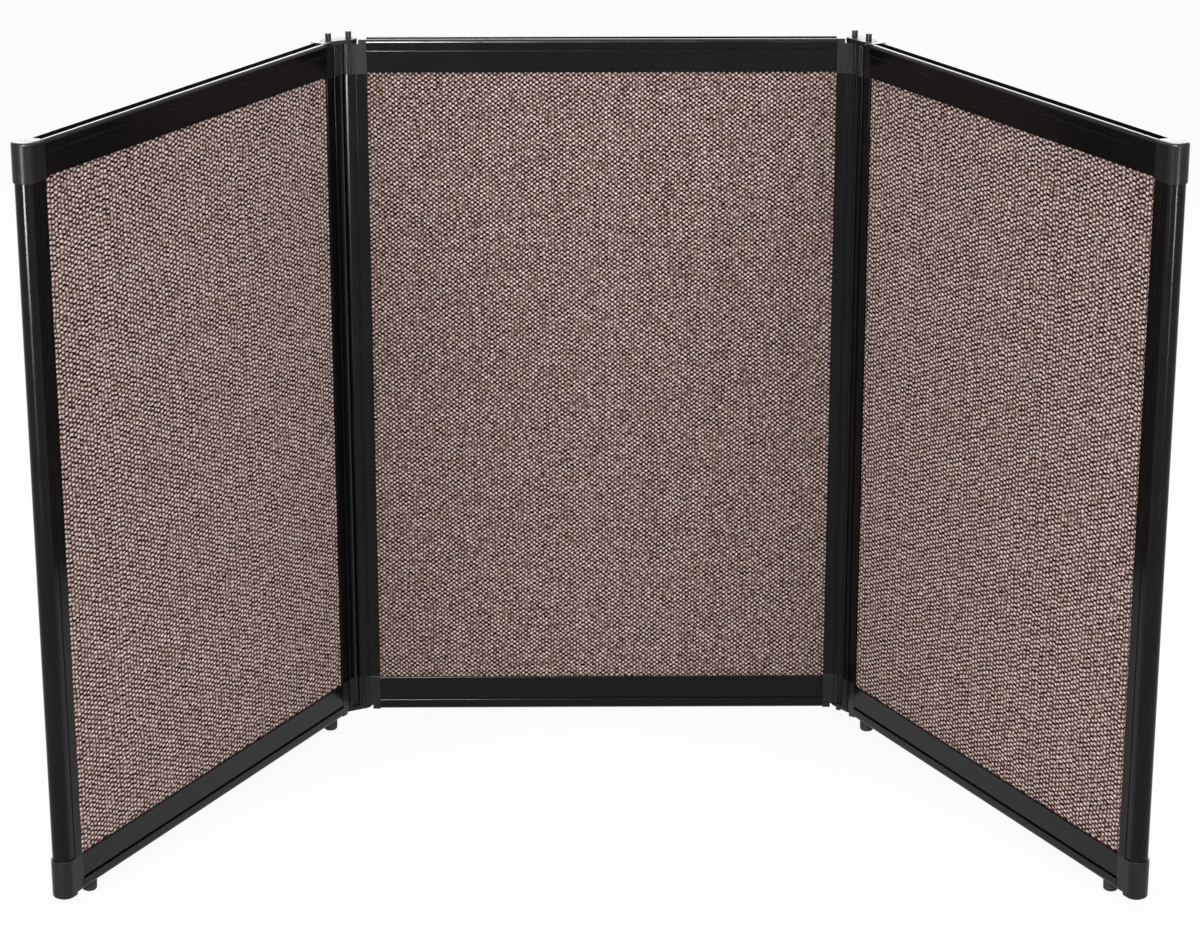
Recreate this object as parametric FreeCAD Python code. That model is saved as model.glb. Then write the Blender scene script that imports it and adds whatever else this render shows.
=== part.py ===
import FreeCAD, Part
import math
import os

# Folding tabletop divider: three fabric panels in black frames, joined by two double hinges.
# Millimetres, +Z up. The viewer of the photo stands at -Y and sees the centre panel square on.

# Panel sizes
panel_width = 653.0          # over the two stiles
frame_height = 894.0         # over the two rails
bead_thickness = 24.0        # the frame's thickness at its rounded outer bead
core_thickness = 15.0
fabric_thickness = 0.8

# Frame extrusions: an outer bead, a groove, then a flange that laps over the fabric
frame_wall = 1.8
stile_bead_radius = 11.0
stile_flange = 13.9
rail_bead_radius = 4.5
top_rail_face = 41.5
top_rail_bead = 11.4
bottom_rail_face = 44.0
bottom_rail_bead = 13.0
groove_width = 2.4
groove_depth = 2.4
flange_step = 1.0            # the flange lies this much under the bead's face
edge_radius = 0.7
rail_slot_width = 12.0       # slot along the outer edge of both rails
rail_slot_depth = 4.0

# Corner caps, with a bead, a groove and a flange like the stile's, and the keys inside them
cap_proud = 1.8              # how far the bead of a free corner's cap stands out past the stile's
hinge_cap_proud = 0.2        # the same at a hinged corner
cap_flange_proud = 0.4
cap_overlap = 2.0            # how far a cap runs past its rail along the stile
cap_edge_radius = 3.2
cap_end_radius = 0.5         # where a cap meets the stile
rib_count = 4                # round upright ribs on each face of a hinged cap's bead
rib_inset = 1.4              # middle of the first groove, from the panel's edge
rib_pitch = 3.95
rib_groove_width = 1.4
rib_groove_depth = 1.2
key_reach = 46.0             # how far a key's arms run into the rail and the stile
key_rail_arm = 12.0
key_margin = 1.4

# Hinges: two headed pins with a link at the top and the bottom, and a strip that closes the gap
pin_diameter = 6.0
pin_head_diameter = 7.4
pin_rise = 8.5               # height of the pins' heads at the top, and at the bottom of each hinge
left_pin_drop = 3.0
right_pin_drop = 8.0
pin_depth = 32.0             # how far a pin sits in its socket
pin_end_radius = 1.2
socket_wall = 1.4
socket_floor = 6.0
link_width = 20.8
link_thickness = 5.0
link_edge_radius = 0.8
strip_thickness = 1.2
strip_width = 14.0
strip_seat = 2.5             # how far the strip's ends sit in the links

# Feet
foot_height = 14.0
foot_diameter = 17.4
foot_top_diameter = 18.4
foot_edge_radius = 3.6
foot_top_edge_radius = 1.0
foot_outer_inset = 60.0      # foot centres from the panel's outer edge and from its hinged edge
foot_hinge_inset = 50.0
stud_diameter = 6.0
stud_seat = 10.0
nut_width = 10.0
nut_height = 4.2
stud_past_nut = 0.6

# Screws that hold the keys
screw_diameter = 3.2
screw_length = 10.0
screw_head_diameter = 6.5
screw_head_height = 1.8
screw_cross_width = 0.9
screw_cross_length = 4.0
screw_cross_depth = 0.9

# Clearances
fabric_clearance = 0.1
core_clearance = 0.5
key_clearance = 0.1
socket_clearance = 0.1
press_clearance = 0.05       # a pin or stud in the piece that holds it
running_clearance = 0.08     # a link on its pins
link_end_gap = 0.4           # under a link and between it and its pins' heads
link_side_gap = 2.3          # from a link's round end to the cap's flange
strip_seat_gap = 0.1
strip_gap = 0.38             # from the strip to the caps that swing past it
cap_gap = 0.3                # from a free corner's cap to a hinge that it swings past
screw_clearance = 0.2
stud_clearance = 0.2

# How far the hinges are folded towards the viewer in the photo, in degrees
left_link_fold = 27.5
left_panel_fold = 62.3
right_link_fold = 55.5
right_panel_fold = 63.0

# Derived sizes
bead_half = bead_thickness / 2
flange_half = bead_half - flange_step
groove_half = bead_half - groove_depth
channel_half = core_thickness / 2 + fabric_thickness + fabric_clearance
cap_half = bead_half + cap_proud
cap_flange_half = flange_half + cap_flange_proud
pin_radius = pin_diameter / 2
rib_radius = (rib_pitch - rib_groove_width) / 2
pin_inset = bead_half
stile_bead = pin_inset + pin_radius + socket_wall + frame_wall
stile_channel = stile_bead + groove_width
stile_face = stile_channel + stile_flange
bead_corner = min(stile_bead_radius, bead_half - edge_radius)
link_half = link_width / 2
link_recess = link_thickness - hinge_cap_proud + link_end_gap
link_room = pin_inset + link_half + link_side_gap
key_inset = stile_channel + key_margin
key_end = stile_face - key_margin
key_half = channel_half - key_clearance
frame_bottom = foot_height
frame_top = frame_bottom + frame_height
half_width = panel_width / 2
pin_x = half_width - pin_inset


def swing_reach(proud):
    # How far a cap's rounded bead reaches from its pin's centre
    return (bead_half - bead_corner) * math.sqrt(2) + bead_corner + proud


pin_spacing = max(2 * (swing_reach(hinge_cap_proud) + strip_gap) + strip_thickness,
                  swing_reach(cap_proud) + swing_reach(hinge_cap_proud) + cap_gap)

# One entry for the top of the frame and one for the bottom: direction into the panel, edge, rail sizes and
# the height of the pins' heads at each hinge
ends = {
    "top": {"into": -1, "edge": frame_top, "face": top_rail_face, "bead": top_rail_bead,
            "pin_out": {"left": pin_rise, "right": pin_rise}},
    "bottom": {"into": 1, "edge": frame_bottom, "face": bottom_rail_face, "bead": bottom_rail_bead,
               "pin_out": {"left": left_pin_drop, "right": right_pin_drop}},
}
for end in ends.values():
    end["channel"] = end["bead"] + groove_width
    end["cap"] = end["face"] + cap_overlap


def level(end, depth):
    # Height of a point that lies this deep inside the frame's top or bottom edge
    return end["edge"] + end["into"] * depth


def across(side, inset):
    # Place along the panel of a point that lies this far in from its left (-1) or right (+1) edge
    return side * (half_width - inset)


def box(x0, x1, y0, y1, z0, z1):
    low = FreeCAD.Vector(min(x0, x1), min(y0, y1), min(z0, z1))
    return Part.makeBox(abs(x1 - x0), abs(y1 - y0), abs(z1 - z0), low)


def cylinder(radius, x, y, z0, z1):
    return Part.makeCylinder(radius, abs(z1 - z0), FreeCAD.Vector(x, y, min(z0, z1)))


def rounded_face(corners, place):
    # Face with a corner radius at each (a, b, radius); place turns (a, b) into a point in space
    edges = []
    joints = []
    for i, (a, b, radius) in enumerate(corners):
        here = FreeCAD.Vector(a, b, 0)
        before = FreeCAD.Vector(*corners[i - 1][:2], 0) - here
        after = FreeCAD.Vector(*corners[(i + 1) % len(corners)][:2], 0) - here
        before.normalize()
        after.normalize()
        half_angle = before.getAngle(after) / 2
        setback = radius / math.tan(half_angle)
        middle = before + after
        middle.normalize()
        top = here + middle * (radius / math.sin(half_angle) - radius)
        joints.append((here + before * setback, top, here + after * setback, radius))
    for i, (start, top, stop, radius) in enumerate(joints):
        if radius > 0:
            arc = Part.Arc(place(start.x, start.y), place(top.x, top.y), place(stop.x, stop.y))
            edges.append(arc.toShape())
        following = joints[(i + 1) % len(joints)][0]
        if stop.distanceToPoint(following) > 1e-6:
            edges.append(Part.LineSegment(place(stop.x, stop.y), place(following.x, following.y)).toShape())
    return Part.Face(Part.Wire(edges))


def extruded(corners, place, direction):
    solid = rounded_face(corners, place).extrude(direction)
    if solid.Volume < 0:
        solid.reverse()
    return solid


def mirrored(half_outline):
    # Closes an outline that is the same on both faces of the panel, given on the front from outside in
    back = [(a, -b, radius) for a, b, radius in reversed(half_outline)]
    return half_outline + back


def frame_outline(face, bead, corner, slot_depth):
    # Section of a rail or stile: distance from the outer edge, distance from the mid-plane, corner radius
    channel = bead + groove_width
    outline = [(0, -bead_half, corner), (bead, -bead_half, edge_radius), (bead, -groove_half, 0),
               (channel, -groove_half, 0), (channel, -flange_half, edge_radius),
               (face, -flange_half, edge_radius), (face, -channel_half, 0), (channel, -channel_half, 0)]
    if slot_depth > 0:
        slot = rail_slot_width / 2
        outline = [(slot_depth, -slot, 0), (0, -slot, edge_radius)] + outline
    return mirrored(outline)


def bead_bore(bead, corner, start, clearance):
    # Hollow of the bead, or the section of a plug that fits in it
    side = bead_half - frame_wall - clearance
    inner = bead - frame_wall - clearance
    outer_corner = max(corner - frame_wall - clearance, edge_radius)
    return mirrored([(start + clearance, -side, outer_corner), (inner, -side, edge_radius)])


def make_stile(side):
    low = level(ends["bottom"], ends["bottom"]["cap"])
    high = level(ends["top"], ends["top"]["cap"])
    up = FreeCAD.Vector(0, 0, high - low)

    def place(inset, y):
        return FreeCAD.Vector(across(side, inset), y, low)

    stile = extruded(frame_outline(stile_face, stile_bead, bead_corner, 0), place, up)
    return stile.cut(extruded(bead_bore(stile_bead, bead_corner, frame_wall, 0), place, up))


def make_rail(end):
    along = FreeCAD.Vector(panel_width - 2 * stile_face, 0, 0)

    def place(depth, y):
        return FreeCAD.Vector(across(-1, stile_face), y, level(end, depth))

    rail = extruded(frame_outline(end["face"], end["bead"], rail_bead_radius, rail_slot_depth), place, along)
    bore = bead_bore(end["bead"], rail_bead_radius, rail_slot_depth + frame_wall, 0)
    return rail.cut(extruded(bore, place, along))


def make_key(side, end, clearance):
    # L-shaped key: one arm up or down the stile's channel, one along the rail's channel
    half = key_half + clearance
    corner_depth = end["channel"] + key_clearance - clearance
    arm_depth = end["channel"] + key_clearance + key_rail_arm + clearance
    outer = across(side, key_inset - clearance)
    stile_arm = box(outer, across(side, key_end + clearance), -half, half,
                    level(end, corner_depth), level(end, end["cap"] + key_reach + clearance))
    rail_arm = box(outer, across(side, stile_face + key_reach + clearance), -half, half,
                   level(end, corner_depth), level(end, arm_depth))
    return stile_arm.fuse(rail_arm).removeSplitter()


def key_screw_places(side, end):
    middle = (key_inset + key_end) / 2
    arm = end["channel"] + key_clearance + key_rail_arm / 2
    return [(across(side, middle), level(end, end["cap"] + key_reach / 2)),
            (across(side, stile_face + key_reach / 2), level(end, arm))]


def screw_hole(x, z, radius):
    # Hole through the back flange and into the key
    return Part.makeCylinder(radius, screw_length, FreeCAD.Vector(x, flange_half, z), FreeCAD.Vector(0, -1, 0))


def make_screw(x, z):
    back = FreeCAD.Vector(0, 1, 0)
    seat = FreeCAD.Vector(x, flange_half, z)
    head = Part.makeCylinder(screw_head_diameter / 2, screw_head_height, seat, back)
    rim = max(head.Edges, key=lambda edge: edge.BoundBox.YMin)
    head = head.makeFillet(screw_head_height / 2, [rim])
    deep = flange_half + screw_head_height
    for long_x, long_z in ((screw_cross_length, screw_cross_width), (screw_cross_width, screw_cross_length)):
        head = head.cut(box(x - long_x / 2, x + long_x / 2, deep - screw_cross_depth, deep,
                            z - long_z / 2, z + long_z / 2))
    return head.fuse(screw_hole(x, z, screw_diameter / 2)).removeSplitter()


def end_face(solid, up):
    # Top face (+1) or bottom face (-1) of an upright block
    return max(solid.Faces, key=lambda face: face.CenterOfMass.z * up)


def rounded_end(block, up, radius):
    # Rounds the rim of a cap's block, apart from its side towards the panel's middle
    rim = end_face(block, up).Edges
    inner = min(rim, key=lambda edge: abs(edge.CenterOfMass.x))
    return block.makeFillet(radius, [edge for edge in rim if not edge.isSame(inner)])


def cap_block(side, end, near, outline):
    def place(inset, y):
        return FreeCAD.Vector(across(side, inset), y, level(end, near))

    return extruded(mirrored(outline), place, FreeCAD.Vector(0, 0, end["into"] * (end["cap"] - near)))


def make_cap_bead(side, end, hinged, cut_back):
    # The cap's rounded part over the end of the stile's bead, or its core when cut back
    proud = (hinge_cap_proud if hinged else cap_proud) - cut_back
    near = link_recess if hinged else -cap_proud
    half = bead_half + proud
    bead = cap_block(side, end, near, [(-proud, -half, bead_corner + proud), (stile_bead, -half, 0)])
    return rounded_end(bead, end["into"], cap_end_radius)


def make_ribs(side, end):
    # Round upright ribs whose crests lie on the bead's full outline, on both faces
    outline_radius = bead_corner + hinge_cap_proud
    turn = outline_radius - rib_radius
    ribs = []
    for i in range(rib_count):
        inset = rib_inset + (i + 0.5) * rib_pitch
        sine = max(0, bead_corner - inset) / outline_radius
        x = across(side, max(inset, bead_corner - turn * sine))
        y = bead_half - bead_corner + turn * math.sqrt(1 - sine ** 2)
        for face in (-1, 1):
            ribs.append(cylinder(rib_radius, x, face * y, level(end, link_recess), level(end, end["cap"])))
    return ribs


def make_cap(side, end, hinged):
    bead = make_cap_bead(side, end, hinged, 0)
    neck = cap_block(side, end, -cap_flange_proud,
                     [(stile_bead, -groove_half, 0), (stile_channel, -groove_half, 0)])
    flange = cap_block(side, end, -cap_flange_proud,
                       [(stile_channel, -cap_flange_half, edge_radius), (stile_face, -cap_flange_half, 0)])
    flange = rounded_end(flange, -end["into"], edge_radius if hinged else cap_edge_radius)
    flange = rounded_end(flange, end["into"], cap_end_radius)
    flange = flange.fuse(neck)
    if hinged:
        bead = make_cap_bead(side, end, hinged, rib_groove_depth).fuse(make_ribs(side, end))
        room = box(across(side, 0), across(side, link_room), -cap_half, cap_half,
                   level(end, -cap_proud), level(end, link_recess))
        flange = flange.cut(room)
        bead = bead.cut(cylinder(pin_radius + press_clearance, across(side, pin_inset), 0,
                                 level(end, 0), level(end, end["cap"])))
    else:
        bead = rounded_end(bead, -end["into"], cap_edge_radius)
    return bead.fuse(flange).removeSplitter().cut(make_key(side, end, key_clearance))


def make_socket(side, end):
    # Moulded plug in the end of the stile's bead, bored for the pin
    length = pin_depth + socket_floor

    def place(inset, y):
        return FreeCAD.Vector(across(side, inset), y, level(end, end["cap"]))

    section = bead_bore(stile_bead, bead_corner, frame_wall, socket_clearance)
    plug = extruded(section, place, FreeCAD.Vector(0, 0, end["into"] * length))
    bore = cylinder(pin_radius + press_clearance, across(side, pin_inset), 0,
                    level(end, end["cap"]), level(end, end["cap"] + pin_depth))
    return plug.cut(bore)


def make_pin(side, end, hinge):
    x = across(side, pin_inset)
    seat = level(end, -hinge_cap_proud - link_end_gap)
    head = cylinder(pin_head_diameter / 2, x, 0, seat, seat - end["into"] * end["pin_out"][hinge])
    head = head.makeFillet(pin_end_radius, end_face(head, -end["into"]).Edges)
    return head.fuse(cylinder(pin_radius, x, 0, seat, level(end, end["cap"] + pin_depth)))


def make_core():
    top, bottom = ends["top"], ends["bottom"]
    edge = stile_channel + core_clearance
    core = box(across(-1, edge), across(1, edge), -core_thickness / 2, core_thickness / 2,
               level(bottom, bottom["channel"] + core_clearance), level(top, top["channel"] + core_clearance))
    for side in (-1, 1):
        for end in (top, bottom):
            core = core.cut(make_corner_notch(side, end))
    return core


def make_corner_notch(side, end):
    # Room for the key and the cap at a corner of the core and of the fabric
    reach = stile_face + key_reach + 2 * core_clearance
    arm = end["channel"] + key_rail_arm + 2 * core_clearance
    drop = end["cap"] + key_reach + 2 * core_clearance
    notch = box(across(side, 0), across(side, reach), -cap_half, cap_half, level(end, 0), level(end, arm))
    notch = notch.fuse(box(across(side, 0), across(side, stile_face + core_clearance), -cap_half, cap_half,
                           level(end, 0), level(end, end["cap"] + core_clearance)))
    return notch.fuse(box(across(side, 0), across(side, key_end + core_clearance), -cap_half, cap_half,
                          level(end, 0), level(end, drop)))


def make_fabric(core, face):
    # Thin skin over one face of the core: -1 is the front, +1 the back
    covered = max(core.Faces, key=lambda side: side.CenterOfMass.y * face)
    skin = covered.extrude(FreeCAD.Vector(0, face * fabric_thickness, 0))
    if skin.Volume < 0:
        skin.reverse()
    return skin


def stud_top():
    return frame_bottom + rail_slot_depth + frame_wall + nut_height + stud_past_nut


def make_foot(x):
    # Turned rubber foot under the bottom rail, bored for its stud
    outline = [(0, 0, 0), (foot_diameter / 2, 0, foot_edge_radius),
               (foot_top_diameter / 2, foot_height, foot_top_edge_radius), (0, foot_height, 0)]
    profile = rounded_face(outline, lambda a, b: FreeCAD.Vector(x + a, 0, b))
    foot = profile.revolve(FreeCAD.Vector(x, 0, 0), FreeCAD.Vector(0, 0, 1), 360)
    return foot.cut(cylinder(stud_diameter / 2 + press_clearance, x, 0, foot_height - stud_seat, foot_height))


def make_stud(x):
    return cylinder(stud_diameter / 2, x, 0, foot_height - stud_seat, stud_top())


def make_nut(x):
    low = frame_bottom + rail_slot_depth + frame_wall
    nut = box(x - nut_width / 2, x + nut_width / 2, -nut_width / 2, nut_width / 2, low, low + nut_height)
    return nut.cut(cylinder(stud_diameter / 2 + press_clearance, x, 0, low, low + nut_height))


def make_panel(name, side_names, hinges, feet):
    # All pieces of one panel, standing square on at the origin, as node name to shape; hinges is side to hinge
    corners = [(side, end) for side in (-1, 1) for end in ("top", "bottom")]
    hinged = [(side, ends[end]) for side, end in corners if side in hinges]
    core = make_core()
    nodes = {
        f"{name}_core": core,
        f"{name}_front_fabric": make_fabric(core, -1),
        f"{name}_back_fabric": make_fabric(core, 1),
        f"{name}_top_rail": make_rail(ends["top"]),
        f"{name}_bottom_rail": make_rail(ends["bottom"]),
    }
    for side in (-1, 1):
        nodes[f"{name}_{side_names[side]}_stile"] = make_stile(side)
    keys, screws = [], []
    for side, end in corners:
        nodes[f"{name}_{side_names[side]}_{end}_cap"] = make_cap(side, ends[end], side in hinges)
        key = make_key(side, ends[end], 0)
        for x, z in key_screw_places(side, ends[end]):
            key = key.cut(screw_hole(x, z, screw_diameter / 2 + press_clearance))
            screws.append(make_screw(x, z))
        keys.append(key)
    for member, end in ((f"{name}_top_rail", "top"), (f"{name}_bottom_rail", "bottom")):
        for side in (-1, 1):
            x, z = key_screw_places(side, ends[end])[1]
            nodes[member] = nodes[member].cut(screw_hole(x, z, screw_diameter / 2 + screw_clearance))
    for side in (-1, 1):
        member = f"{name}_{side_names[side]}_stile"
        for end in ends.values():
            x, z = key_screw_places(side, end)[0]
            nodes[member] = nodes[member].cut(screw_hole(x, z, screw_diameter / 2 + screw_clearance))
    nodes[f"{name}_corner_keys"] = Part.makeCompound(keys)
    nodes[f"{name}_key_screws"] = Part.makeCompound(screws)
    nodes[f"{name}_pin_sockets"] = Part.makeCompound([make_socket(side, end) for side, end in hinged])
    nodes[f"{name}_hinge_pins"] = Part.makeCompound([make_pin(side, end, hinges[side]) for side, end in hinged])
    if feet:
        places = {}
        for side in (-1, 1):
            inset = foot_hinge_inset if side in hinges else foot_outer_inset
            places[side_names[side]] = across(side, inset)
        rail = nodes[f"{name}_bottom_rail"]
        for foot, x in places.items():
            nodes[f"{name}_{foot}_foot"] = make_foot(x)
            rail = rail.cut(cylinder(stud_diameter / 2 + stud_clearance, x, 0, frame_bottom,
                                     frame_bottom + rail_slot_depth + frame_wall))
        nodes[f"{name}_bottom_rail"] = rail
        nodes[f"{name}_foot_studs"] = Part.makeCompound([make_stud(x) for x in places.values()])
        nodes[f"{name}_foot_nuts"] = Part.makeCompound([make_nut(x) for x in places.values()])
    return nodes


def link_inner(end):
    # Level of a link's face towards the panel's middle; its other face is level with the caps
    return level(end, link_thickness - hinge_cap_proud)


def make_link(end):
    # Round-ended plate from its inner pin at the origin to its outer pin along +X
    near, far = level(end, -hinge_cap_proud), link_inner(end)
    link = box(0, pin_spacing, -link_half, link_half, near, far)
    for x in (0, pin_spacing):
        link = link.fuse(cylinder(link_half, x, 0, near, far))
    link = link.removeSplitter()
    link = link.makeFillet(link_edge_radius, end_face(link, -end["into"]).Edges)
    for x in (0, pin_spacing):
        link = link.cut(cylinder(pin_radius + running_clearance, x, 0, near, far))
    return link.cut(make_strip(strip_seat_gap))


def make_strip(clearance):
    # Strip that closes the gap between the stiles, with its ends in the two links
    low = link_inner(ends["bottom"]) - strip_seat - clearance
    high = link_inner(ends["top"]) + strip_seat + clearance
    thick = strip_thickness / 2 + clearance
    wide = strip_width / 2 + clearance
    return box(pin_spacing / 2 - thick, pin_spacing / 2 + thick, -wide, wide, low, high)


def make_hinge(name):
    return {f"{name}_top_link": make_link(ends["top"]), f"{name}_bottom_link": make_link(ends["bottom"]),
            f"{name}_gap_strip": make_strip(0)}


def placed(nodes, pivot, turn, target):
    # Turns pieces about a vertical line through pivot and moves that line to target
    for shape in nodes.values():
        shape.rotate(pivot, FreeCAD.Vector(0, 0, 1), turn)
        shape.translate(target - pivot)
    return nodes


# Each side: its sign, its link's fold and its panel's fold towards the viewer
sides = {"left": (-1, left_link_fold, left_panel_fold), "right": (1, right_link_fold, right_panel_fold)}
pivots = {}
nodes = make_panel("centre", {-1: "left", 1: "right"}, {-1: "left", 1: "right"}, False)
for name, (sign, link_fold, panel_fold) in sides.items():
    inner = FreeCAD.Vector(sign * pin_x, 0, 0)
    fold = math.radians(link_fold)
    outer = inner + FreeCAD.Vector(sign * math.cos(fold), -math.sin(fold), 0) * pin_spacing
    link_turn = -link_fold if sign > 0 else 180 + link_fold
    nodes.update(placed(make_hinge(name), FreeCAD.Vector(0, 0, 0), link_turn, inner))
    panel = make_panel(name, {sign: "outer", -sign: "hinge"}, {-sign: name}, True)
    nodes.update(placed(panel, FreeCAD.Vector(-sign * pin_x, 0, 0), -sign * panel_fold, outer))
    pivots[f"{name}_inner_pin"] = inner
    pivots[f"{name}_outer_pin"] = outer

# The origin is on the table, under the middle of the whole object's box
whole = Part.makeCompound(list(nodes.values())).optimalBoundingBox(False)
shift = FreeCAD.Vector(-whole.Center.x, -whole.Center.y, 0)
os.makedirs("parts", exist_ok=True)
for node, shape in nodes.items():
    shape.translate(shift)
    shape.exportStep(f"parts/{node}.step")
for name, point in pivots.items():
    print(name, [round(v, 4) for v in point + shift])
print("pin spacing", round(pin_spacing, 4), "stile face", round(stile_face, 4))
print("pieces", len(nodes), "size", round(whole.XLength, 3), round(whole.YLength, 3), round(whole.ZLength, 3),
      "lowest", round(whole.ZMin, 4))
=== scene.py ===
import math

import bpy
import numpy as np
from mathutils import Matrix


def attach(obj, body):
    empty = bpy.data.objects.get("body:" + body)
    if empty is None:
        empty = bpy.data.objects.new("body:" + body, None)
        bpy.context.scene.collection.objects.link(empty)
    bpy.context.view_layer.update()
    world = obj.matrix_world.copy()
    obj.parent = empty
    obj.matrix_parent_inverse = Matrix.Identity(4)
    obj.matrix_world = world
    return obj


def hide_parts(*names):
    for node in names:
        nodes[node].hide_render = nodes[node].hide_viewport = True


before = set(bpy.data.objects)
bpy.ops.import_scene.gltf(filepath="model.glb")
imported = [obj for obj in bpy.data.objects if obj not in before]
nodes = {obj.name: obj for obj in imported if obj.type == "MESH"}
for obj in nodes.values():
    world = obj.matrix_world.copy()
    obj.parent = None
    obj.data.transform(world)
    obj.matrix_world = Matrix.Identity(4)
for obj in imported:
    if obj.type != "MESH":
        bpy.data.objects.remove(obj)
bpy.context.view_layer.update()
scene = bpy.context.scene
scene.view_settings.view_transform = "Standard"
panelTurn = {"centre": 0.0, "left": 62.3, "right": -63.0}   # degrees about the upright, as the panels stand
print("frame loaded,", len(nodes), "nodes")


# camera
photoView = {"place": (-0.0366, -3.8748, 1.7395), "down": 18.61, "aside": 0.58, "lens": 101.83}
cameraData = bpy.data.cameras.new("studioCamera")
cameraData.sensor_width = 36
cameraData.lens = photoView["lens"]
camera = bpy.data.objects.new("studioCamera", cameraData)
camera.location = photoView["place"]
camera.rotation_euler = (math.radians(90 - photoView["down"]), 0, math.radians(-photoView["aside"]))
scene.collection.objects.link(camera)
scene.camera = camera
print("camera set")


class Wire:
    # A shader socket that takes part in Python expressions
    def __init__(self, tree, socket=None):
        self.tree = tree
        self.socket = socket

    def node(self, kind, settings, sockets, out=0):
        # settings first (a ramp's stops among them), then the values or links of the sockets
        made = self.tree.nodes.new("ShaderNode" + kind)
        for key, value in settings.items():
            if key == "stops":
                for stop in value[2:]:
                    made.color_ramp.elements.new(stop[0])
                for element, (place, shade) in zip(made.color_ramp.elements, value):
                    element.position = place
                    element.color = shade
            else:
                setattr(made, key, value)
        for key, value in sockets.items():
            if isinstance(value, Wire):
                self.tree.links.new(value.socket, made.inputs[key])
            else:
                made.inputs[key].default_value = value
        return Wire(self.tree, made.outputs[out])

    def math(self, operation, *values):
        return self.node("Math", {"operation": operation}, dict(enumerate(values)))

    def __add__(self, other):
        return self.math("ADD", self, other)

    def __sub__(self, other):
        return self.math("SUBTRACT", self, other)

    def __rsub__(self, other):
        return self.math("SUBTRACT", other, self)

    def __mul__(self, other):
        return self.math("MULTIPLY", self, other)

    __radd__ = __add__
    __rmul__ = __mul__

    def clip(self, low, high):
        # 0 at low, 1 at high, smooth between
        settings = {"interpolation_type": "SMOOTHSTEP"}
        return self.node("MapRange", settings, {"Value": self, "From Min": low, "From Max": high})

    def wave(self):
        # cosine of so many whole turns
        return self.math("COSINE", self * (2 * math.pi))

    def part(self, index):
        return self.node("SeparateXYZ", {}, {"Vector": self}, index)

    def noise(self, scale, detail=2.0, rough=0.5):
        return self.node("TexNoise", {}, {"Vector": self, "Scale": scale, "Detail": detail, "Roughness": rough})

    def blend(self, first, second):
        # colour mix with this value as the factor
        return self.node("Mix", {"data_type": "RGBA"}, {0: self, 6: first, 7: second}, 2)

    def bump(self, height, strength):
        return self.node("Bump", {}, {"Height": self, "Distance": height, "Strength": strength})

    def into(self, shader, socket):
        self.tree.links.new(self.socket, shader.inputs[socket])


def grey(value):
    return (value, value, value, 1.0)


def newMaterial(name, **fixed):
    # Principled material whose fixed values sit on its own sockets
    material = bpy.data.materials.new(name)
    material.use_nodes = True
    shader = material.node_tree.nodes["Principled BSDF"]
    for socket, value in fixed.items():
        shader.inputs[socket.replace("_", " ")].default_value = value
    return material, Wire(material.node_tree), shader


def turned(wire, degrees, scale=(1.0, 1.0, 1.0)):
    # Object coordinates in the panel's own axes: x along the rails, z up
    place = wire.node("TexCoord", {}, {}, "Object")
    local = wire.node("Mapping", {}, {"Vector": place, "Rotation": (0.0, 0.0, math.radians(-degrees))})
    return wire.node("Mapping", {}, {"Vector": local, "Scale": scale})


# black coating on the frame's extrusions
frameCoat = {"deep": 0.002, "pale": 0.006, "gloss": 0.12, "glossSpread": 0.12, "across": 1400.0, "along": 4.0,
             "peelScale": 420.0, "cloudScale": 14.0, "dustScale": 2600.0, "bumpHeight": 0.00006, "specular": 0.14}


def makeFrameCoat(name, degrees, upright):
    material, w, shader = newMaterial(name, IOR=1.5, Specular_IOR_Level=frameCoat["specular"])
    fine, coarse = frameCoat["across"], frameCoat["along"]
    stretch = (fine, fine, coarse) if upright else (coarse, fine, fine)
    lines = turned(w, degrees, stretch).noise(1.0, 3.0)             # die lines along the extrusion
    local = turned(w, degrees)
    peel = local.noise(frameCoat["peelScale"], 1.0)                 # slight orange peel
    cloud = local.noise(frameCoat["cloudScale"], 4.0, 0.6)          # handling marks
    dust = local.noise(frameCoat["dustScale"], 0.0).clip(0.66, 0.74) * cloud.clip(0.42, 0.7)
    (dust * 0.5 + cloud * 0.5).blend(grey(frameCoat["deep"]), grey(frameCoat["pale"])).into(shader, "Base Color")
    dullness = lines * 0.5 + cloud.clip(0.35, 0.75) * 0.5
    (frameCoat["gloss"] + frameCoat["glossSpread"] * dullness + dust * 0.2).into(shader, "Roughness")
    (lines * 0.35 + peel * 0.65).bump(frameCoat["bumpHeight"], 0.35).into(shader, "Normal")
    return material


# moulded caps and links
capPlastic = {"deep": 0.005, "pale": 0.012, "gloss": 0.22, "grain": 2200.0, "flowScale": 60.0, "speckScale": 1900.0,
              "bumpHeight": 0.00008, "specular": 0.22}
linkPlastic = {"deep": 0.006, "pale": 0.014, "gloss": 0.28, "grain": 2600.0, "flowScale": 60.0, "speckScale": 1900.0,
               "bumpHeight": 0.00008, "specular": 0.22}


def makeMoulded(name, look):
    material, w, shader = newMaterial(name, IOR=1.5, Specular_IOR_Level=look["specular"])
    place = turned(w, 0.0)
    grain = place.node("TexVoronoi", {"feature": "SMOOTH_F1"}, {"Vector": place, "Scale": look["grain"]})
    flow = place.noise(look["flowScale"], 3.0, 0.6)                 # flow marks of the moulding
    speck = place.noise(look["speckScale"], 1.0).clip(0.68, 0.76)   # fine dust in the grain
    (flow * 0.7 + speck * 0.3).blend(grey(look["deep"]), grey(look["pale"])).into(shader, "Base Color")
    (look["gloss"] + 0.14 * flow + 0.12 * grain + 0.1 * speck).into(shader, "Roughness")
    (grain * 0.6 + flow * 0.4).bump(look["bumpHeight"], 0.4).into(shader, "Normal")
    return material


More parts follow.
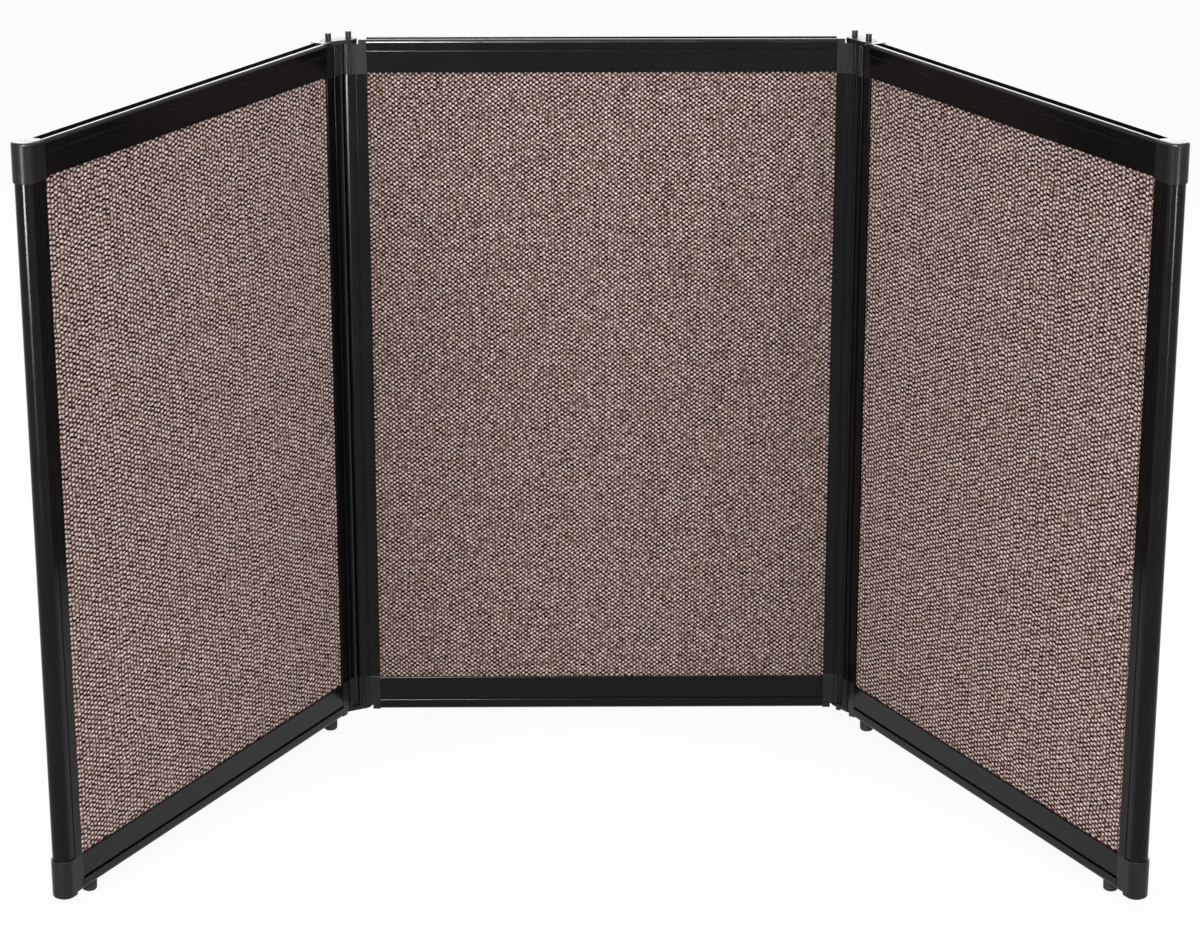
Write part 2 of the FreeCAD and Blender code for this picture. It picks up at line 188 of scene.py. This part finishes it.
# hinge pins: blackened steel, rubbed in patches
pinSteel = {"deep": 0.009, "rubbed": 0.05, "gloss": 0.28, "turning": (60.0, 60.0, 3200.0), "rubScale": 700.0,
            "bumpHeight": 0.00005}


def makePinSteel(name):
    material, w, shader = newMaterial(name, Metallic=0.35, IOR=1.5, Specular_IOR_Level=0.5)
    place = turned(w, 0.0)
    turning = turned(w, 0.0, pinSteel["turning"]).noise(1.0, 2.0)   # turning marks round the pin
    rub = place.noise(pinSteel["rubScale"], 3.0, 0.65).clip(0.5, 0.8)
    rub.blend(grey(pinSteel["deep"]), grey(pinSteel["rubbed"])).into(shader, "Base Color")
    (pinSteel["gloss"] + 0.2 * turning + 0.1 * rub).into(shader, "Roughness")
    turning.bump(pinSteel["bumpHeight"], 0.4).into(shader, "Normal")
    return material


# zinc plated screws, studs and nuts
zincSteel = {"bright": (0.55, 0.56, 0.56, 1.0), "tarnish": (0.42, 0.39, 0.31, 1.0), "gloss": 0.26,
             "patchScale": 260.0, "scratch": (900.0, 200.0, 2400.0), "bumpHeight": 0.00004}


def makeZincSteel(name):
    material, w, shader = newMaterial(name, Metallic=1.0)
    place = turned(w, 0.0)
    patch = place.noise(zincSteel["patchScale"], 4.0, 0.6).clip(0.4, 0.7)
    scratch = turned(w, 0.0, zincSteel["scratch"]).noise(1.0, 3.0)
    patch.blend(zincSteel["bright"], zincSteel["tarnish"]).into(shader, "Base Color")
    (zincSteel["gloss"] + 0.16 * patch + 0.14 * scratch).into(shader, "Roughness")
    scratch.bump(zincSteel["bumpHeight"], 0.4).into(shader, "Normal")
    return material


# rubber feet
footRubber = {"deep": 0.007, "worn": 0.03, "gloss": 0.62, "poreScale": 1700.0, "scuffScale": 420.0,
              "scuffHeight": 0.006, "bumpHeight": 0.00012}


def makeFootRubber(name):
    material, w, shader = newMaterial(name, IOR=1.5, Specular_IOR_Level=0.35)
    place = turned(w, 0.0)
    pores = place.noise(footRubber["poreScale"], 2.0)
    low = (footRubber["scuffHeight"] - place.part(2)).clip(0.0, footRubber["scuffHeight"])
    worn = low * place.noise(footRubber["scuffScale"], 3.0).clip(0.4, 0.7)      # scuffed where it meets the table
    worn.blend(grey(footRubber["deep"]), grey(footRubber["worn"])).into(shader, "Base Color")
    (footRubber["gloss"] + 0.2 * pores + 0.1 * worn).into(shader, "Roughness")
    pores.bump(footRubber["bumpHeight"], 0.5).into(shader, "Normal")
    return material


# dull extruded strip between the stiles
gapStrip = {"deep": 0.004, "pale": 0.010, "gloss": 0.5, "lines": (1600.0, 1600.0, 5.0), "cloudScale": 40.0,
            "bumpHeight": 0.00006}


def makeGapStrip(name):
    material, w, shader = newMaterial(name, IOR=1.5, Specular_IOR_Level=0.3)
    lines = turned(w, 0.0, gapStrip["lines"]).noise(1.0, 3.0)
    cloud = turned(w, 0.0).noise(gapStrip["cloudScale"], 3.0)
    cloud.blend(grey(gapStrip["deep"]), grey(gapStrip["pale"])).into(shader, "Base Color")
    (gapStrip["gloss"] + 0.2 * lines).into(shader, "Roughness")
    lines.bump(gapStrip["bumpHeight"], 0.4).into(shader, "Normal")
    return material


# moulded keys and pin sockets inside the frame
keyNylon = {"deep": 0.018, "pale": 0.035, "gloss": 0.45, "fleckScale": 900.0, "bumpHeight": 0.00008}


def makeKeyNylon(name):
    material, w, shader = newMaterial(name, IOR=1.53, Specular_IOR_Level=0.4)
    fleck = turned(w, 0.0).noise(keyNylon["fleckScale"], 3.0, 0.6)
    fleck.clip(0.35, 0.7).blend(grey(keyNylon["deep"]), grey(keyNylon["pale"])).into(shader, "Base Color")
    (keyNylon["gloss"] + 0.2 * fleck).into(shader, "Roughness")
    fleck.bump(keyNylon["bumpHeight"], 0.3).into(shader, "Normal")
    return material


# fibreboard core
coreBoard = {"dark": (0.30, 0.21, 0.13, 1.0), "light": (0.50, 0.40, 0.28, 1.0), "gloss": 0.85,
             "fibreScale": 520.0, "clumpScale": 70.0, "bumpHeight": 0.0003}


def makeCoreBoard(name):
    material, w, shader = newMaterial(name, IOR=1.45, Specular_IOR_Level=0.2)
    place = turned(w, 0.0)
    fibre = place.noise(coreBoard["fibreScale"], 6.0, 0.7)
    clump = place.noise(coreBoard["clumpScale"], 3.0)
    mottle = (fibre * 0.7 + clump * 0.3).clip(0.35, 0.65)
    mottle.blend(coreBoard["dark"], coreBoard["light"]).into(shader, "Base Color")
    (coreBoard["gloss"] + 0.1 * fibre).into(shader, "Roughness")
    fibre.bump(coreBoard["bumpHeight"], 0.5).into(shader, "Normal")
    return material


shared = {
    "cap": makeMoulded("capPlastic", capPlastic),
    "link": makeMoulded("linkPlastic", linkPlastic),
    "pin": makePinSteel("pinSteel"),
    "zinc": makeZincSteel("zincSteel"),
    "foot": makeFootRubber("footRubber"),
    "strip": makeGapStrip("gapStrip"),
    "nylon": makeKeyNylon("keyNylon"),
    "board": makeCoreBoard("coreBoard"),
}
endings = {"_cap": "cap", "_link": "link", "_hinge_pins": "pin", "_key_screws": "zinc", "_foot_studs": "zinc",
           "_foot_nuts": "zinc", "_foot": "foot", "_gap_strip": "strip", "_corner_keys": "nylon",
           "_pin_sockets": "nylon", "_core": "board"}


def finishWith(node, material):
    node.data.materials.clear()
    node.data.materials.append(material)


for panel, degrees in panelTurn.items():
    railCoat = makeFrameCoat(panel + "RailCoat", degrees, False)
    stileCoat = makeFrameCoat(panel + "StileCoat", degrees, True)
    for name, node in nodes.items():
        if name.startswith(panel) and name.endswith(("_rail", "_stile")):
            finishWith(node, stileCoat if name.endswith("_stile") else railCoat)
for name, node in nodes.items():
    for ending, finish in endings.items():
        if name.endswith(ending):
            finishWith(node, shared[finish])
print("finishes on the frame's pieces")


# woven fabric skins
weave = {
    "pitchX": {"centre": 0.0075, "left": 0.0128, "right": 0.0128},  # repeat across, wider on the side panels
    "pitchZ": 0.0059,                                               # repeat up
    "slip": {"centre": 0.12, "left": 0.3, "right": 0.3},            # how far a yarn's crossings leave their row
    "ridge": {"centre": 0.1, "left": 0.17, "right": 0.17},          # how much the upright yarns show
    "level": {"centre": 0.486, "left": 0.545, "right": 0.521},      # mean shade, higher on the side panels as painted light that makes up for the less light they catch
    "columnStray": [(0.7, 0.24, 2.0), (0.45, 1.6, 1.0)],            # amount, scale and detail of each noise
    "rowStray": [(0.4, 0.27, 2.0), (0.45, 1.9, 1.0)],               # the same for the rows
    "squash": 0.8,                                                  # height of a repeat in the noises' space
    "dots": 1.25, "own": 0.03, "slub": 0.4, "fibre": 0.7,           # what each adds to the shade
    "bumpHeight": 0.0004,
    "lapSide": 0.01345, "lapLow": 0.02815, "lapHigh": 0.02725,      # how far the frame laps over the fabric
    "relief": 0.00022, "back": 0.00024,     # yarn height about a plane that far under the skin's face
    # corner cut-outs: in from the side, up from the lower edge, down from the upper edge
    "corners": [(0.0604, 0.0125, 0.0125), (0.01344, 0.0306, 0.0297), (0.0125, 0.0771, 0.0762)],
    "shades": [(0.0, (0.004, 0.0004, 0.0002, 1.0)), (0.34, (0.062, 0.028, 0.018, 1.0)),
               (0.58, (0.266, 0.187, 0.162, 1.0)), (1.0, (0.7, 0.59, 0.565, 1.0))],
    "seed": 7,
}


def spaced(stops, pitch):
    # Grid lines at about half a repeat, with a line on each stop
    runs = []
    for low, high in zip(stops[:-1], stops[1:]):
        runs.append(np.linspace(low, high, max(1, round(2 * (high - low) / pitch)) + 1)[:-1])
    return np.concatenate(runs + [[stops[-1]]])


def wovenSkin(panel, face):
    # Grid over the fabric's outline: y = plane + swell * (-1)^(column + row), a yarn over and a yarn under
    name = f"{panel}_{face}_fabric"
    node = nodes[name]
    turn = math.radians(panelTurn[panel])
    spin = np.array([[math.cos(turn), -math.sin(turn), 0], [math.sin(turn), math.cos(turn), 0], [0, 0, 1]])
    solid = np.empty(len(node.data.vertices) * 3)
    node.data.vertices.foreach_get("co", solid)
    solid = solid.reshape(-1, 3) @ spin                         # into the panel's own axes
    low, high = solid.min(0), solid.max(0)
    middle = (low[0] + high[0]) / 2
    edge = (high[0] - low[0]) / 2
    sight = edge - weave["lapSide"]
    x = spaced([-edge, -sight, sight, edge], weave["pitchX"][panel])
    z = spaced([low[2], low[2] + weave["lapLow"], high[2] - weave["lapHigh"], high[2]], weave["pitchZ"])
    gridX, gridZ = np.meshgrid(x, z)
    row, column = np.indices(gridX.shape)
    out = -1 if face == "front" else 1
    plane = low[1] + weave["back"] if out < 0 else high[1] - weave["back"]
    swell = weave["relief"] * np.random.default_rng(weave["seed"]).uniform(0.2, 1.0, gridX.shape)
    gridY = plane + out * swell * (1 - 2.0 * ((row + column) % 2))
    points = np.stack([gridX + middle, gridY, gridZ], -1).reshape(-1, 3) @ spin.T
    index = np.arange(gridX.size).reshape(gridX.shape)
    quads = np.stack([index[:-1, :-1], index[:-1, 1:], index[1:, 1:], index[1:, :-1]], -1)
    if out > 0:
        quads = quads[..., ::-1]
    inset = edge - np.maximum(abs(gridX[:-1, :-1]), abs(gridX[:-1, 1:]))
    keep = np.ones(inset.shape, bool)
    for side, under, over in weave["corners"]:
        keep &= ~((inset < side) & ((gridZ[:-1, :-1] < low[2] + under) | (gridZ[1:, :-1] > high[2] - over)))
    quads = quads[keep]
    used = np.unique(quads)
    fresh = np.full(gridX.size, -1)
    fresh[used] = np.arange(used.size)
    quads = fresh[quads]
    mesh = bpy.data.meshes.new(name + "_weave")
    mesh.from_pydata(points[used], [], quads.tolist())
    flat = np.stack([(gridX + edge) / (2 * edge), (gridZ - low[2]) / (high[2] - low[2])], -1).reshape(-1, 2)[used]
    layer = mesh.uv_layers.new(name="OFBake")
    layer.uv.foreach_set("vector", flat[quads.ravel()].astype(np.float32).ravel())
    mesh.polygons.foreach_set("use_smooth", np.ones(len(quads), bool))
    mesh.update()
    skin = bpy.data.objects.new(name + "_weave", mesh)
    scene.collection.objects.link(skin)
    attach(skin, panel + "_panel")
    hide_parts(name)
    size = (2 * edge, high[2] - low[2])
    repeats = (size[0] / weave["pitchX"][panel], size[1] / weave["pitchZ"])
    return skin, repeats


def makeTaupeWeave(name, panel, repeats):
    # light yarn over, dark gap between: wave(column) * wave(row), each dot and each upright yarn a little different
    material, w, shader = newMaterial(name, IOR=1.45, Specular_IOR_Level=0.03)
    place = w.node("UVMap", {"uv_map": "OFBake"}, {})
    across, up = repeats
    spread = (across, up * weave["squash"], 1.0)
    cloth = w.node("VectorMath", {"operation": "MULTIPLY"}, {0: place, 1: spread})
    column = cloth.part(0)
    for amount, scale, detail in weave["columnStray"]:
        column = column + amount * (cloth.noise(scale, detail) - 0.5)
    yarn = column.math("FLOOR", column * 2 + 0.5)                   # number of the upright yarn
    own = yarn.node("TexWhiteNoise", {"noise_dimensions": "1D"}, {"W": yarn}) - 0.5
    rows = cloth.part(1) * (1 / weave["squash"]) + weave["slip"][panel] * own
    for amount, scale, detail in weave["rowStray"]:
        rows = rows + amount * cloth.noise(scale, detail)
    pick = rows.math("FLOOR", rows * 2 + 0.5)                       # number of the crossing
    crossing = w.node("CombineXYZ", {}, {"X": yarn, "Y": pick})
    strength = w.node("TexWhiteNoise", {"noise_dimensions": "2D"}, {"Vector": crossing})
    over = column.wave() * rows.wave()
    over = over * (0.35 + 0.65 * over.math("ABSOLUTE", over))       # sharper than the wave
    fibre = cloth.noise(6.7, 2.0, 0.6) - 0.5
    slub = cloth.noise(1.1, 3.0, 0.6) - 0.5
    worn = cloth.noise(0.39, 2.0).clip(0.3, 0.55) * 0.45 + 0.55     # patches where the pattern closes up
    dots = over * (0.2 + 1.1 * strength) * worn
    ridge = weave["ridge"][panel] * (column * 2).wave()
    # the side panels' higher mean shade is painted light, making up for their dimmer lighting
    shade = weave["level"][panel] + weave["dots"] * dots + ridge
    shade = shade + weave["own"] * own + weave["slub"] * slub + weave["fibre"] * fibre
    shade.node("ValToRGB", {"stops": weave["shades"]}, {0: shade}).into(shader, "Base Color")
    (0.9 + 0.1 * fibre).into(shader, "Roughness")
    (dots * 0.5 + fibre * 0.6 + slub * 0.4).bump(weave["bumpHeight"], 0.5).into(shader, "Normal")
    return material


for panel in panelTurn:
    for face in ("front", "back"):
        skin, repeats = wovenSkin(panel, face)
        skin.data.materials.append(makeTaupeWeave(f"{panel}{face.title()}Weave", panel, repeats))
print("fabric skins woven")


# studio: pale floor, white world, soft lamps
studio = {
    "floorSize": 60.0, "floorColour": 0.86, "floorGlow": 0.93, "worldFill": 0.5,
    "lamps": {   # place, aim, width, height, watts, spread in degrees, diffuse light too
        "keySoftbox": ((-3.0, -3.3, 2.8), (0, 0.1, 0.45), 2.0, 2.0, 104.0, 180, True),
        "fillSoftbox": ((3.0, -3.3, 2.8), (0, 0.1, 0.45), 2.0, 2.0, 97.0, 180, True),
        "topSoftbox": ((0.0, 0.4, 3.4), (0, 0.1, 0.9), 2.6, 1.4, 50.0, 180, True),
        "leftHighlight": ((-1.6, -2.6, 0.25), (-0.57, 0.22, 0.85), 0.8, 0.18, 4.6, 50, False),
        "rightHighlight": ((1.6, -2.6, 0.24), (0.57, 0.22, 0.85), 0.6, 0.14, 1.4, 50, False),
        "lipHighlight": ((-0.6, -3.6, 3.2), (-0.26, 0.3, 0.1), 0.26, 2.0, 600.0, 180, False),
        "backPanel": ((0.0, 4.2, 2.3), (0.0, 0.0, 0.9), 6.0, 1.8, 200.0, 180, False),
    },
}


def looked(w):
    # 1 where the camera looks straight at it, in a reflection or through glass
    rays = [w.node("LightPath", {}, {}, f"Is {kind} Ray") for kind in ("Camera", "Glossy", "Transmission")]
    return rays[0].math("MAXIMUM", rays[0].math("MAXIMUM", rays[0], rays[1]), rays[2])


floorMesh = bpy.data.meshes.new("studioFloor")
half = studio["floorSize"] / 2
corners = [(-half, -half, 0), (half, -half, 0), (half, half, 0), (-half, half, 0)]
floorMesh.from_pydata(corners, [], [(0, 1, 2, 3)])
floor = bpy.data.objects.new("studioFloor", floorMesh)
scene.collection.objects.link(floor)
floorPaint = bpy.data.materials.new("studioFloor")
floorPaint.use_nodes = True
floorNodes = floorPaint.node_tree.nodes
floorNodes.remove(floorNodes["Principled BSDF"])
w = Wire(floorPaint.node_tree)
matte = w.node("BsdfDiffuse", {}, {"Color": grey(studio["floorColour"])})
glow = w.node("Emission", {}, {"Color": grey(1.0), "Strength": 1.0})
mixed = w.node("MixShader", {}, {0: looked(w) * studio["floorGlow"], 1: matte, 2: glow})
mixed.into(floorNodes["Material Output"], "Surface")
floorMesh.materials.append(floorPaint)

world = bpy.data.worlds.new("studioWorld")
scene.world = world
world.use_nodes = True
w = Wire(world.node_tree)
backdrop = world.node_tree.nodes["Background"]
backdrop.inputs["Color"].default_value = grey(1.0)
(studio["worldFill"] + (1 - studio["worldFill"]) * looked(w)).into(backdrop, "Strength")

for name, (place, aim, width, height, power, spread, diffuse) in studio["lamps"].items():
    lampData = bpy.data.lights.new(name, "AREA")
    lampData.shape = "RECTANGLE"
    lampData.size = width
    lampData.size_y = height
    lampData.energy = power
    lampData.spread = math.radians(spread)
    lamp = bpy.data.objects.new(name, lampData)
    lamp.location = place
    direction = np.array(place) - np.array(aim)
    flatReach = math.hypot(direction[0], direction[1])
    lamp.rotation_euler = (math.atan2(flatReach, direction[2]), 0, math.atan2(direction[0], -direction[1]))
    lamp.visible_camera = False
    lamp.visible_diffuse = diffuse
    scene.collection.objects.link(lamp)
print("studio lit")
